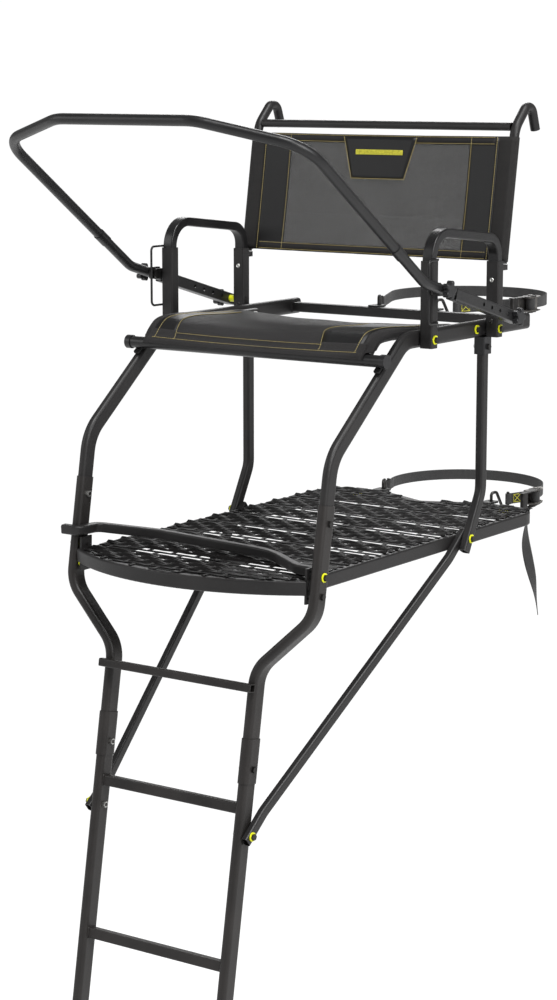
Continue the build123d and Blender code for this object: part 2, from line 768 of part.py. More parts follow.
# the loose end of the lower strap hangs from its ratchet
tail_points = [
    (203, 141, -468),
    (199, 128, -500),
    (200, 124, -545),
    (205, 132, -592),
    (212, 143, -640),
    (218, 150, -688),
    (222, 153, -728),
]
tail_turns = []
for before, here, after in zip(tail_points, tail_points[1:], tail_points[2:]):
    first = Vector(*here) - Vector(*before)
    second = Vector(*after) - Vector(*here)
    half_turn = radians(first.get_angle(second)) / 2
    tail_turns.append(0.45 * min(first.length, second.length) / (sin(half_turn) / cos(half_turn)))
print("strap tail radii", [round(radius) for radius in tail_turns])
with BuildPart() as tail:
    with BuildLine() as tail_line:
        FilletPolyline(*tail_points, radius=tail_turns)
    with BuildSketch(Plane(origin=tail_line.line @ 0, x_dir=(0.4, 0.9, 0.25), z_dir=tail_line.line % 0)):
        Rectangle(strap_w, strap_t)
    sweep()
tail_length = sum(edge.length for edge in tail_line.edges())
tail_ratio = tail.part.volume / (tail_length * strap_w * strap_t)
print("strap tail length", round(tail_length), "volume over section times length", round(tail_ratio, 3))
save(tail.part, "strap_tail")

# ---- seat ------------------------------------------------------------------------------------
seat_line = [(hinge[0] + 22, 0), (-480, 4), (-590, 11), (-664, 8), (seat_bar[0] + 8.6, seat_bar[1] + 9.5)]
seat_tubes = []
for side in side_names:
    x = side * seat_x
    points = [(x, y, z) for y, z in seat_line]
    bar = round_tube(points, [400, 300, 60], seat_tube_r, 1.5)
    with BuildPart() as seat_tube:
        add(bar)
        drill_x(x, *hinge, radius=bolt_r + pin_fit)
    seat_tubes.append(seat_tube.part)
    head_x = side * (frame_x + frame_w / 2)
    fasten(head_x, side * (seat_x - seat_tube_r), *hinge)
    spacers.append(ring_x(side * (seat_x + seat_tube_r + 0.6), side, *hinge, 8, bolt_r + 0.05, 3.6))
save(Compound(children=seat_tubes), "seat_tubes")

points = [(-seat_bar_half, *seat_bar), (seat_bar_half, *seat_bar)]
save(round_tube(points, None, seat_bar_r, 1.6), "seat_front_bar")
end_caps = []
for side in side_names:
    with BuildPart() as end_cap:
        with BuildSketch(Plane(origin=(side * (seat_bar_half - 10), *seat_bar), z_dir=(side, 0, 0))):
            Circle(seat_bar_r + 2.2)
            Circle(seat_bar_r + 0.1, mode=Mode.SUBTRACT)
        extrude(amount=10.1)
        with BuildSketch(Plane(origin=(side * (seat_bar_half + 0.1), *seat_bar), z_dir=(side, 0, 0))):
            Circle(seat_bar_r + 2.2)
        extrude(amount=3)
    end_caps.append(end_cap.part)
save(Compound(children=end_caps), "seat_end_caps")

seat_cloth_half = seat_x + 8
seat_top = [(-372, 15.7), (-480, 18.2), (-590.5, 25.2), (-670.4, 22), (-703, -14.2)]
seat_under = [(-372, 13.3), (-480, 15.8), (-590.5, 22.8), (-669.3, 19.6), (-701.2, -15.8)]
with BuildPart() as seat_sling:
    with BuildSketch(Plane(origin=(-seat_cloth_half, 0, 0), x_dir=(0, 1, 0), z_dir=(1, 0, 0))):
        with BuildLine():
            top = FilletPolyline(*seat_top, radius=[400, 250, 73])
            under = FilletPolyline(*seat_under, radius=[400, 250, 71])
            Line(top @ 0, under @ 0)
            Line(top @ 1, under @ 1)
        make_face()
    extrude(amount=2 * seat_cloth_half)
save(seat_sling.part, "seat_sling")

pads = []
slope_angle = degrees(atan2(slope, 1))
for side in side_names:
    offset = 0.1 + frame_d / 2
    foot = seat_bar[0] * cos(radians(slope_angle)) + seat_bar[1] * sin(radians(slope_angle))
    base_d = thigh[0] * cos(radians(slope_angle)) + thigh[1] * sin(radians(slope_angle))
    s = foot - base_d
    y = thigh[0] + s * cos(radians(slope_angle)) - offset * sin(radians(slope_angle))
    z = thigh[1] + s * sin(radians(slope_angle)) + offset * cos(radians(slope_angle))
    normal = (0, -sin(radians(slope_angle)), cos(radians(slope_angle)))
    with BuildPart() as pad:
        with BuildSketch(Plane(origin=(side * frame_x, y, z), x_dir=(1, 0, 0), z_dir=normal)):
            RectangleRounded(14, 34, 3)
        extrude(amount=pad_t)
    pads.append(pad.part)
save(Compound(children=pads), "seat_rest_pads")

# ---- shooting rail -----------------------------------------------------------------------------
arm_slope = (elbow[1] - pivot[1]) / (elbow[0] - pivot[0])
square_w = 25
knob_r = 14
knob_lobe_r = 6
sockets = []
clamps = []
for side, word in side_names.items():
    x = side * arm_line_x
    clamp = (clamp_y, pivot[1] + (clamp_y - pivot[0]) * arm_slope)
    ends = [pivot[0] + 18, clamp_y + 40]
    points = [(x, y, pivot[1] + (y - pivot[0]) * arm_slope) for y in ends]
    bar = tube(points, None, (1, 0, 0), square_w, square_w, 1.4, 3)
    with BuildPart() as socket:
        add(bar)
        drill_x(x, *pivot, radius=bolt_r + pin_fit)
        for number in range(1, 5):
            y = pivot[0] - 34 * number
            drill_x(x, y, pivot[1] + (y - pivot[0]) * arm_slope)
    sockets.append(socket.part)

    start = (x, clamp_y + 100, pivot[1] + (clamp_y + 100 - pivot[0]) * arm_slope)
    points = [start, (x, *elbow)]
    meet = [a + (b - a) * joint_share for a, b in zip((x, *elbow), (side * corner_x, *corner))]
    arm = round_tube([*points, tuple(meet)], [70], rail_tube_r, 1.5)
    with BuildPart() as rail_arm:
        add(arm)
        drill_x(x, *clamp, radius=clamp_bolt_r + pin_fit)
    save(rail_arm.part, f"rail_arm_{word}")

    # height clamp: a plate behind the wire guide and a block in front of it, drawn together by a bolt
    inside = guide_x - guide_rod_r - 0.3
    outside = guide_x + guide_rod_r + 0.3
    arm_face = arm_line_x - rail_tube_r - 0.2
    post_face = post_x + post_w / 2 + 0.6
    for near, far, tall, wide in ((post_face, inside, 20, 27), (outside, arm_face, 26, 34)):
        with BuildPart() as block:
            with BuildSketch(Plane(origin=(side * near, *clamp), x_dir=(0, 1, 0), z_dir=(side, 0, 0))):
                RectangleRounded(wide, tall, 5)
                Circle(clamp_bolt_r + pin_fit, mode=Mode.SUBTRACT)
            extrude(amount=far - near)
        clamps.append(block.part)
    knob_face = arm_line_x + rail_tube_r + 1.2
    with BuildPart() as clamp_bolt:
        with BuildSketch(Plane(origin=(side * post_face, *clamp), z_dir=(side, 0, 0))):
            Circle(clamp_bolt_r)
        extrude(amount=knob_face + 10 - post_x - post_w / 2)
    clamps.append(clamp_bolt.part)

    # the pivot bolt is fixed in the armrest post and carries the arm and a knob
    far = arm_line_x + square_w / 2 + 1.2
    with BuildPart() as pivot_bolt:
        with BuildSketch(Plane(origin=(side * (post_x - post_w / 2 - 0.2), *pivot), z_dir=(side, 0, 0))):
            Circle(bolt_r)
        extrude(amount=far + 11 - post_x + post_w / 2)
        with BuildSketch(Plane(origin=(side * (post_x - post_w / 2 - 0.2), *pivot), z_dir=(-side, 0, 0))):
            RegularPolygon(6.6, 6)
        extrude(amount=1.5)
    bolts.append(pivot_bolt.part)
    spacer_x = side * (post_x + post_w / 2 + 0.2)
    room = arm_line_x - square_w / 2 - 0.3 - abs(spacer_x)
    spacers.append(ring_x(spacer_x, side, *pivot, 8, bolt_r + 0.05, room))

    for place, name, face, hole in (
        (clamp, "clamp_knob", knob_face, clamp_bolt_r),
        (pivot, "pivot_knob", far, bolt_r),
    ):
        with BuildPart() as knob:
            with BuildSketch(Plane(origin=(side * face, *place), x_dir=(0, 1, 0), z_dir=(side, 0, 0))):
                Circle(knob_r)
                with PolarLocations(knob_r, 5):
                    Circle(knob_lobe_r)
            extrude(amount=13)
            edges = knob.faces().sort_by(Axis.X)[-1 if side > 0 else 0].edges()
            fillet(edges, radius=2.5)
            with BuildSketch(Plane(origin=(side * (face - 1), *place), x_dir=(0, 1, 0), z_dir=(side, 0, 0))):
                Circle(8)
            extrude(amount=1)
            with BuildSketch(Plane(origin=(side * (face - 1), *place), x_dir=(0, 1, 0), z_dir=(side, 0, 0))):
                Circle(hole + pin_fit)
            extrude(amount=12, mode=Mode.SUBTRACT)
        save(knob.part, f"{name}_{word}")
save(Compound(children=sockets), "rail_sockets")
save(Compound(children=clamps), "height_clamps")

meet = [a + (b - a) * joint_share for a, b in zip((arm_line_x, *elbow), (corner_x, *corner))]
bow_points = [tuple(meet), (corner_x, *corner), (crown_x, *crown)]
bow_points += [(-x, y, z) for x, y, z in reversed(bow_points)]
with BuildPart() as bow:
    add(round_tube(bow_points, [90, 90, 90, 90], rail_tube_r, 1.5))
save(bow.part, "rail_bow")

sleeves = []
for side in side_names:
    way = Vector(side * (corner_x - arm_line_x), corner[0] - elbow[0], corner[1] - elbow[1]).normalized()
    middle = Vector(side * meet[0], meet[1], meet[2])
    with BuildPart() as sleeve:
        with BuildSketch(Plane(origin=middle - way * 16, z_dir=way)):
            Circle(rail_tube_r + 1.4)
            Circle(rail_tube_r + 0.1, mode=Mode.SUBTRACT)
        extrude(amount=32)
    sleeves.append(sleeve.part)
save(Compound(children=sleeves), "rail_joint_sleeves")

save(Compound(children=bolts), "bolts")
save(Compound(children=nuts), "nuts")
save(Compound(children=washers), "washers")
save(Compound(children=spacers), "spacers")
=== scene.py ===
from math import atan2, cos, hypot, pi, radians, sin

import bpy
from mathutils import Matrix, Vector


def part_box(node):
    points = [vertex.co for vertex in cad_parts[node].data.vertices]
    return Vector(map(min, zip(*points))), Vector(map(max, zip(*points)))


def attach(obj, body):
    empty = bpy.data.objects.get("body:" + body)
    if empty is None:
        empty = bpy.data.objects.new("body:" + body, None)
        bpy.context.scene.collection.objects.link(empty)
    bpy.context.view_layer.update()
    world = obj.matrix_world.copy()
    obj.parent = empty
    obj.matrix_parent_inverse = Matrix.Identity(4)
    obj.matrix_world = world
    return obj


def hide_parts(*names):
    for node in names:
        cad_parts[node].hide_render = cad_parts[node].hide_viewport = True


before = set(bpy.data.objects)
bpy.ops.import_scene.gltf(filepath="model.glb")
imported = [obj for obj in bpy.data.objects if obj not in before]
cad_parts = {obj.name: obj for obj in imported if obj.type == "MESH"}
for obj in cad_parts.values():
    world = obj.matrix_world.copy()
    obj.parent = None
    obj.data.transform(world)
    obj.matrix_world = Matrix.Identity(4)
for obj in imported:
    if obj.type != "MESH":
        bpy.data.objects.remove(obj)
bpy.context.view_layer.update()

# Ladder tree stand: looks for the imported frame, and its cloth, webbing, grate and stitching.
# Metres, +Z up. The climber faces +Y and the origin is on the front of the trunk.

scene = bpy.context.scene
MM = 0.001
BLACK = (0, 0, 0)
WHITE = (1, 1, 1)
SIDES = ((-1, "left"), (1, "right"))
ALONG_X = Vector((1, 0, 0))
ALONG_Z = Vector((0, 0, 1))


# ---- materials -------------------------------------------------------------------------------
class Shader:
    """A material under construction: short calls that add nodes and link them."""

    def __init__(self, name, color, roughness, metallic=0.0):
        self.material = bpy.data.materials.new(name)
        self.material.use_nodes = True
        self.nodes = self.material.node_tree.nodes
        self.links = self.material.node_tree.links
        self.surface = self.nodes["Principled BSDF"]
        self.surface.inputs["Base Color"].default_value = (*color, 1)
        self.surface.inputs["Roughness"].default_value = roughness
        self.surface.inputs["Metallic"].default_value = metallic
        self.place = self.nodes.new("ShaderNodeTexCoord").outputs["Object"]

    def add(self, kind, **inputs):
        """A node with its inputs linked or set."""
        node = self.nodes.new(kind)
        for key, value in inputs.items():
            socket = node.inputs[key.replace("_", " ")]
            if isinstance(value, bpy.types.NodeSocket):
                self.links.new(value, socket)
            else:
                socket.default_value = value
        return node

    def noise(self, scale, detail=3.0, rough=0.6):
        """Noise in object space, about 0.5 on average."""
        node = self.add("ShaderNodeTexNoise", Vector=self.place, Scale=scale, Detail=detail, Roughness=rough)
        return node.outputs["Fac"]

    def ramp(self, value, low, high, start=0.0, end=1.0):
        """Colour from low to high while value goes from start to end."""
        node = self.add("ShaderNodeValToRGB", Fac=value)
        node.color_ramp.elements[0].position = start
        node.color_ramp.elements[1].position = end
        node.color_ramp.elements[0].color = (*low, 1)
        node.color_ramp.elements[1].color = (*high, 1)
        return node.outputs["Color"]

    def math(self, operation, first, second=0.0):
        """One sum or comparison of sockets or numbers."""
        node = self.nodes.new("ShaderNodeMath")
        node.operation = operation
        for socket, value in zip(node.inputs, (first, second)):
            if isinstance(value, bpy.types.NodeSocket):
                self.links.new(value, socket)
            else:
                socket.default_value = value
        return node.outputs["Value"]

    def mix(self, share, first, second):
        """Colour between first and second."""
        node = self.nodes.new("ShaderNodeMix")
        node.data_type = "RGBA"
        for key, value in (("Factor", share), ("A", first), ("B", second)):
            socket = [s for s in node.inputs if s.name == key and s.enabled][0]
            if isinstance(value, bpy.types.NodeSocket):
                self.links.new(value, socket)
            elif key == "Factor":
                socket.default_value = value
            else:
                socket.default_value = (*value, 1)
        return [s for s in node.outputs if s.enabled][0]

    def bump(self, height, strength, distance):
        """Bend the surface's normal by a height."""
        node = self.add("ShaderNodeBump", Height=height, Strength=strength, Distance=distance)
        self.links.new(node.outputs["Normal"], self.surface.inputs["Normal"])

    def drive(self, socket, value):
        """Link a value to a socket of the surface."""
        self.links.new(value, self.surface.inputs[socket])

    def axis(self, name):
        """The X, Y or Z place on the object, in metres."""
        node = self.add("ShaderNodeSeparateXYZ", Vector=self.place)
        return node.outputs[name]


def powder_coat(name, dark, light, roughness, specular=0.34):
    """Sprayed and baked powder: orange peel, faint patches, dust and rubbed spots."""
    dust_color = (0.042, 0.038, 0.035)
    rubbed_color = (0.07, 0.066, 0.062)
    paint = Shader(name, dark, roughness)
    patches = paint.noise(7.0, 4.0)
    base = paint.ramp(patches, dark, light, 0.35, 0.72)
    dust = paint.ramp(paint.noise(38.0, 6.0, 0.72), BLACK, WHITE, 0.62, 0.82)
    dusty = paint.mix(paint.math("MULTIPLY", dust, 0.30), base, dust_color)
    specks = paint.ramp(paint.noise(420.0, 2.0), BLACK, WHITE, 0.70, 0.78)
    paint.drive("Base Color", paint.mix(paint.math("MULTIPLY", specks, 0.4), dusty, rubbed_color))
    paint.drive("Roughness", paint.math("ADD", paint.math("MULTIPLY", patches, 0.22), roughness - 0.11))
    peel = paint.math("ADD", paint.noise(1500.0, 2.0), paint.math("MULTIPLY", paint.noise(260.0, 2.0), 1.4))
    paint.bump(peel, 0.22, 0.5 * MM)
    paint.surface.inputs["Specular IOR Level"].default_value = specular
    return paint.material


def plated_steel(name, color, roughness):
    """Zinc plate with cloudy patches and fine scratches."""
    steel = Shader(name, color, roughness, metallic=1.0)
    cloud = steel.noise(60.0, 5.0)
    steel.drive("Base Color", steel.ramp(cloud, tuple(c * 0.62 for c in color), color, 0.3, 0.7))
    steel.drive("Roughness", steel.math("ADD", steel.math("MULTIPLY", cloud, 0.35), roughness - 0.12))
    stretched = steel.add("ShaderNodeMapping", Vector=steel.place, Scale=(300.0, 2600.0, 400.0))
    scratches = steel.add("ShaderNodeTexNoise", Vector=stretched.outputs["Vector"], Scale=1.0, Detail=2.0)
    steel.bump(scratches.outputs["Fac"], 0.18, 0.3 * MM)
    return steel.material


def moulded(name, color, roughness, grain=900.0, bracket_color=None):
    """Moulded plastic or rubber with a spark-eroded grain and paler scuffs.

    With a bracket_color, what lies at the right-hand platform bracket has that colour."""
    resin = Shader(name, color, roughness)
    scuff = resin.ramp(resin.noise(55.0, 6.0, 0.7), BLACK, WHITE, 0.60, 0.85)
    pale = tuple(min(1.0, c * 1.6 + 0.004) for c in color)
    skin = resin.mix(resin.math("MULTIPLY", scuff, 0.5), color, pale)
    if bracket_color:
        right = resin.math("GREATER_THAN", resin.axis("X"), 250 * MM)
        low = resin.math("LESS_THAN", resin.axis("Z"), -300 * MM)
        skin = resin.mix(resin.math("MULTIPLY", right, low), skin, bracket_color)
    resin.drive("Base Color", skin)
    resin.drive("Roughness", resin.math("ADD", resin.math("MULTIPLY", scuff, 0.2), roughness))
    resin.bump(resin.noise(grain, 2.0), 0.25, 0.4 * MM)
    resin.surface.inputs["Specular IOR Level"].default_value = 0.36
    return resin.material


def woven(name, dark, light, pitch, open_half=0.0):
    """Vinyl-coated mesh of crossing round threads, with painted shade between them, and holes as far as
    open_half from the middle.
    """
    hole_level = -0.16       # where both sets of threads lie lower than this is a hole
    cloth = Shader(name, dark, 0.62)
    turns = 2 * pi / pitch
    across = cloth.math("SINE", cloth.math("MULTIPLY", cloth.axis("X"), turns))
    rise = cloth.math("ADD", cloth.axis("Z"), cloth.math("MULTIPLY", cloth.axis("Y"), 0.9))
    along = cloth.math("SINE", cloth.math("MULTIPLY", rise, turns * 0.82))
    weave = cloth.math("MAXIMUM", across, along)
    slub = cloth.add("ShaderNodeMapping", Vector=cloth.place, Scale=(9.0, 90.0, 210.0)).outputs["Vector"]
    streak = cloth.add("ShaderNodeTexNoise", Vector=slub, Scale=1.0, Detail=5.0, Roughness=0.7)
    tone = cloth.ramp(streak.outputs["Fac"], dark, light, 0.3, 0.72)
    thread = cloth.ramp(weave, BLACK, WHITE)
    # painted shade: where both sets of threads dip, between their crests, the cloth is coloured darker, as
    # shade
    painted_gap_shade = tuple(c * 0.35 for c in dark)
    cloth.drive("Base Color", cloth.mix(thread, painted_gap_shade, tone))
    cloth.bump(weave, 0.6, 0.6 * MM)
    cloth.surface.inputs["Sheen Weight"].default_value = 0.04
    cloth.surface.inputs["Specular IOR Level"].default_value = 0.3
    if open_half:
        solid = cloth.math("GREATER_THAN", weave, hole_level)
        beside = cloth.math("GREATER_THAN", cloth.math("ABSOLUTE", cloth.axis("X")), open_half)
        cloth.drive("Alpha", cloth.math("MAXIMUM", solid, beside))
    return cloth.material


def ribbed(name, dark, light, pitch=1.8 * MM):
    """Woven polyester webbing: diagonal twill ribs with a painted highlight on their crests, and a soft
    sheen.
    """
    web = Shader(name, dark, 0.72)
    turns = 2 * pi / pitch
    slant = web.math("ADD", web.axis("Z"), web.math("ADD", web.axis("X"), web.axis("Y")))
    rib = web.math("SINE", web.math("MULTIPLY", slant, turns))
    cross = web.math("SINE", web.math("MULTIPLY", web.axis("Z"), turns * 1.6))
    height = web.math("ADD", rib, cross)
    # painted highlight: the crests of the ribs are coloured paler, as where light catches them
    painted_crest_highlight = (0.030, 0.030, 0.031)
    base = web.ramp(web.noise(45.0, 5.0), dark, light, 0.3, 0.7)
    crest_highlight_share = web.math("MULTIPLY", web.math("ADD", rib, 1.0), 0.25)
    web.drive("Base Color", web.mix(crest_highlight_share, base, painted_crest_highlight))
    web.bump(height, 0.5, 0.4 * MM)
    web.surface.inputs["Sheen Weight"].default_value = 0.08
    return web.material


def thread_material(name, color):
    """Sewing thread: twisted, slightly fuzzy and uneven in colour."""
    thread = Shader(name, color, 0.6)
    tone = thread.noise(300.0, 2.0)
    thread.drive("Base Color", thread.ramp(tone, tuple(c * 0.6 for c in color), color, 0.3, 0.6))
    thread.bump(thread.noise(2600.0, 2.0), 0.4, 0.3 * MM)
    return thread.material


LIME = (0.72, 0.74, 0.015)
NEAR_BLACK = (0.012, 0.012, 0.012)
mesh_pitch = 1.6 * MM
open_half = 236 * MM          # the backrest's see-through part reaches this far from its middle
finishes = {
    "frame": powder_coat("frame_powder_coat", (0.0075, 0.0070, 0.0072), (0.015, 0.0140, 0.0140), 0.44),
    "ladder": powder_coat("ladder_powder_coat", (0.010, 0.0090, 0.0085), (0.020, 0.0175, 0.0165), 0.42),
    "rail": powder_coat("rail_powder_coat", (0.0070, 0.0070, 0.0074), (0.014, 0.0138, 0.0142), 0.36),
    "grate": powder_coat("grate_powder_coat", (0.0032, 0.0029, 0.0030), (0.0065, 0.0058, 0.0058), 0.50, 0.12),
    "gloss": powder_coat("armrest_powder_coat", (0.0060, 0.0060, 0.0064), (0.012, 0.0115, 0.0118), 0.30),
    "bright": plated_steel("zinc_plate", (0.62, 0.62, 0.60), 0.32),
    "dark": plated_steel("black_plate", (0.060, 0.058, 0.057), 0.38),
    "worn": plated_steel("worn_plate", (0.22, 0.21, 0.20), 0.36),
    "yellow": moulded("yellow_nylon", LIME, 0.38, 700.0),
    "spacer": moulded("nylon_spacers", LIME, 0.38, 700.0, NEAR_BLACK),
    "plastic": moulded("black_plastic", (0.009, 0.009, 0.010), 0.34),
    "rubber": moulded("rubber", (0.010, 0.010, 0.010), 0.7, 1300.0),
    "mesh": woven("sling_mesh", (0.008, 0.0072, 0.0070), (0.018, 0.016, 0.0155), mesh_pitch, open_half),
    "seat_mesh": woven("seat_mesh", (0.0075, 0.0066, 0.0068), (0.0165, 0.0145, 0.0150), mesh_pitch),
    "vinyl": moulded("sling_edge_vinyl", (0.0028, 0.0028, 0.0031), 0.48, 1100.0),
    "webbing": ribbed("black_webbing", (0.0055, 0.0055, 0.0055), (0.012, 0.011, 0.011)),
    "yellow_thread": thread_material("yellow_thread", (0.62, 0.58, 0.05)),
    "tan_thread": thread_material("tan_thread", (0.36, 0.29, 0.11)),
}


def finish_of(node):
    """The finish of a CAD node, by what it is made of."""
    if node == "washers":
        return "yellow"
    if node == "spacers":
        return "spacer"
    if "knob" in node or node in ("tube_end_caps", "seat_end_caps", "leg_clips"):
        return "plastic"
    if node == "nuts":
        return "bright"
    if node == "ratchet_frames" or node.endswith("ratchet_spool"):
        return "worn"
    if node in ("bolts", "strap_hooks", "height_clamps") or node.endswith("ratchet_handle"):
        return "dark"
    if node == "seat_rest_pads":
        return "rubber"
    if node in ("upper_strap", "lower_strap", "strap_tail", "webbing_loops"):
        return "webbing"
    if node.startswith("rail_"):
        return "rail"
    if node in ("armrest_left", "armrest_right", "seat_front_bar"):
        return "gloss"
    if node.startswith(("ladder_", "top_r")):
        return "ladder"
    return "frame"


for name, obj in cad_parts.items():
    finish = finishes[finish_of(name)]
    if not obj.material_slots:
        obj.data.materials.append(finish)
    for material_slot in obj.material_slots:
        material_slot.material = finish


# ---- mesh helpers ----------------------------------------------------------------------------
def add_mesh(name, points, faces, finish, body="root", smooth=True):
    """A new mesh piece in the row frame that rides on a body."""
    mesh = bpy.data.meshes.new(name)
    mesh.from_pydata([tuple(p) for p in points], [], faces)
    mesh.update()
    obj = bpy.data.objects.new(name, mesh)
    scene.collection.objects.link(obj)
    mesh.materials.append(finishes[finish])
    if smooth:
        mesh.polygons.foreach_set("use_smooth", [True] * len(mesh.polygons))
    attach(obj, body)
    return obj


def grid_mesh(name, rows, finish, body="root", thickness=0.0):
    """A sheet through rows of points, all rows equally long, given an even thickness."""
    count = len(rows[0])
    points = [p for row in rows for p in row]
    faces = []
    for i in range(len(rows) - 1):
        for j in range(count - 1):
            a = i * count + j
            faces.append((a, a + 1, a + count + 1, a + count))
    obj = add_mesh(name, points, faces, finish, body)
    if thickness:
        thicken(obj, thickness)
    return obj


def thicken(obj, thickness):
    """Give a sheet its thickness, half on each side, as part of its own mesh."""
    solid = obj.modifiers.new("thickness", "SOLIDIFY")
    solid.thickness = thickness
    solid.offset = 0.0
    graph = bpy.context.evaluated_depsgraph_get()
    graph.update()
    mesh = bpy.data.meshes.new_from_object(obj.evaluated_get(graph))
    obj.modifiers.clear()
    obj.data = mesh


def round_curve(name, radius, resolution):
    """An empty curve whose splines are drawn as round threads or beads."""
    curve = bpy.data.curves.new(name, "CURVE")
    curve.dimensions = "3D"
    curve.bevel_depth = radius
    curve.bevel_resolution = resolution
    return curve


def add_curve(name, curve, finish, body="root"):
    """A new curve piece in the row frame that rides on a body."""
    obj = bpy.data.objects.new(name, curve)
    scene.collection.objects.link(obj)
    curve.materials.append(finishes[finish])
    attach(obj, body)
    return obj


def stitches(name, lines, finish, body="root", pitch=5.2 * MM, gap=1.4 * MM, radius=0.6 * MM):
    """Rows of thread stitches along lines of points: short round pieces with gaps between them."""
    shortest = 0.6 * MM
    curve = round_curve(name, radius, 1)
    curve.use_fill_caps = True
    for line in lines:
        carried = 0.0
        for start, end in zip(line, line[1:]):
            start, end = Vector(start), Vector(end)
            length = (end - start).length
            way = (end - start) / length
            at = -carried
            while at < length:
                begin = max(at, 0.0)
                stop = min(at + pitch - gap, length)
                if stop - begin > shortest:
                    spline = curve.splines.new("POLY")
                    spline.points.add(1)
                    spline.points[0].co = (*(start + way * begin), 1)
                    spline.points[1].co = (*(start + way * stop), 1)
                at += pitch
            carried = length - (at - pitch)
    return add_curve(name, curve, finish, body)


def smooth_curve(points, steps):
    """Points along a Catmull-Rom curve through the given points."""
    ends = [2 * Vector(points[0]) - Vector(points[1])]
    ends += [Vector(p) for p in points]
    ends.append(2 * Vector(points[-1]) - Vector(points[-2]))
    result = []
    for a, b, c, d in zip(ends, ends[1:], ends[2:], ends[3:]):
        for step in range(steps):
            t = step / steps
            result.append(0.5 * (2 * b + (c - a) * t + (2 * a - 5 * b + 4 * c - d) * t ** 2
                                 + (3 * b - a - 3 * c + d) * t ** 3))
    result.append(ends[-2])
    return result


# ---- backrest sling ----------------------------------------------------------------------------
back_half = 338 * MM          # middle of each upright
sleeve = 11.9 * MM            # radius of the cloth round an upright
foot_y, foot_z = -249 * MM, 138 * MM
recline = 46.6 / 286
cloth_low, cloth_high = 142 * MM, 406 * MM
cloth_tall = (cloth_high - cloth_low) * hypot(1, recline)
cloth_thick = 0.9 * MM
up = Vector((0, recline, 1)).normalized()
back = Vector((0, 1, -recline)).normalized()
cloth_foot = Vector((0, foot_y + recline * (cloth_low - foot_z), cloth_low))


def back_point(x, depth, height):
    """A point of the reclined backrest: x across, depth towards the tree, height along the uprights."""
    return cloth_foot + Vector((x, 0, 0)) + back * depth + up * height


def back_depth(x, height):
    """How far back the cloth lies between its sleeves: sagging, with soft folds from the corners."""
    share = x / back_half
    rise = height / cloth_tall
    sagging = 15 * MM * (1 - share ** 2) * (0.75 + 0.25 * sin(pi * rise))
    folds = 1.1 * MM * sin(9 * share + 5 * rise) * (1 - share ** 2) * (0.3 + abs(rise - 0.5))
    return -sleeve + sagging + folds


def back_profile(height):
    """One level of the cloth: from the left seam round the tube, across, and round the right tube."""
    seam = 309 * MM
    wrap_start, wrap_turn, wrap_steps = 62, 208, 12
    flat_steps = 64
    left = [(-seam, back_depth(-seam, height) + 2.2 * MM),
            (-seam - 9 * MM, back_depth(-seam, height) + 4.5 * MM)]
    for step in range(wrap_steps + 1):
        angle = radians(wrap_start + step * wrap_turn / wrap_steps)
        left.append((-back_half + sleeve * cos(angle), sleeve * sin(angle)))
    flat = [-back_half + 2 * back_half * i / flat_steps for i in range(2, flat_steps - 1)]
    middle = [(x, back_depth(x, height)) for x in flat]
    right = [(-x, y) for x, y in reversed(left)]
    return [back_point(x, y, height) for x, y in left + middle + right]


level_steps = 26
back_rows = [back_profile(cloth_tall * i / level_steps) for i in range(level_steps + 1)]
back_sheet = grid_mesh("backrest_mesh_sling", back_rows, "mesh", thickness=cloth_thick / 2)
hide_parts("backrest_sling")


def back_strip(name, x_from, x_to, h_from, h_to, lift, finish):
    """A strip sewn on the front of the backrest cloth."""
    across = max(2, int(abs(x_to - x_from) / (9 * MM)))
    tall = max(2, int(abs(h_to - h_from) / (10 * MM)))
    strip_rows = []
    for i in range(tall + 1):
        height = h_from + (h_to - h_from) * i / tall
        strip_rows.append([])
        for j in range(across + 1):
            x = x_from + (x_to - x_from) * j / across
            strip_rows[-1].append(back_point(x, back_depth(x, height) - lift, height))
    return grid_mesh(name, strip_rows, finish, thickness=cloth_thick)


strip_out, strip_in, strip_edge = 308 * MM, 234 * MM, 3 * MM
for side, word in SIDES:
    back_strip(f"backrest_side_band_{word}", side * strip_out, side * strip_in, strip_edge,
               cloth_tall - strip_edge, 1.1 * MM, "vinyl")
hem, hem_half, hem_edge = 20 * MM, 300 * MM, 0.5 * MM
for word, start in (("bottom", 0.0), ("top", cloth_tall - hem)):
    back_strip(f"backrest_hem_{word}", -hem_half, hem_half, start + hem_edge, start + hem - hem_edge,
               2.1 * MM, "seat_mesh")


def back_line(points, lift=2.7 * MM):
    """A thread line on the front of the backrest cloth through x, height points."""
    step = 12 * MM
    line = []
    for (x0, h0), (x1, h1) in zip(points, points[1:]):
        count = max(2, int(hypot(x1 - x0, h1 - h0) / step))
        for i in range(count):
            x, height = x0 + (x1 - x0) * i / count, h0 + (h1 - h0) * i / count
            line.append(back_point(x, back_depth(x, height) - lift, height))
    x, height = points[-1]
    line.append(back_point(x, back_depth(x, height) - lift, height))
    return line


seam_edge = 3 * MM            # from an edge of the cloth or hem to its line of stitches
seams = []
for side, word in SIDES:
    for x in (304 * MM, 238 * MM):
        seams.append(back_line([(side * x, 2 * MM), (side * x, cloth_tall - 2 * MM)]))
for height in (hem - seam_edge, cloth_tall - hem + seam_edge, seam_edge, cloth_tall - seam_edge):
    seams.append(back_line([(-298 * MM, height), (298 * MM, height)], 3.0 * MM))
stitches("backrest_seams", seams, "tan_thread")

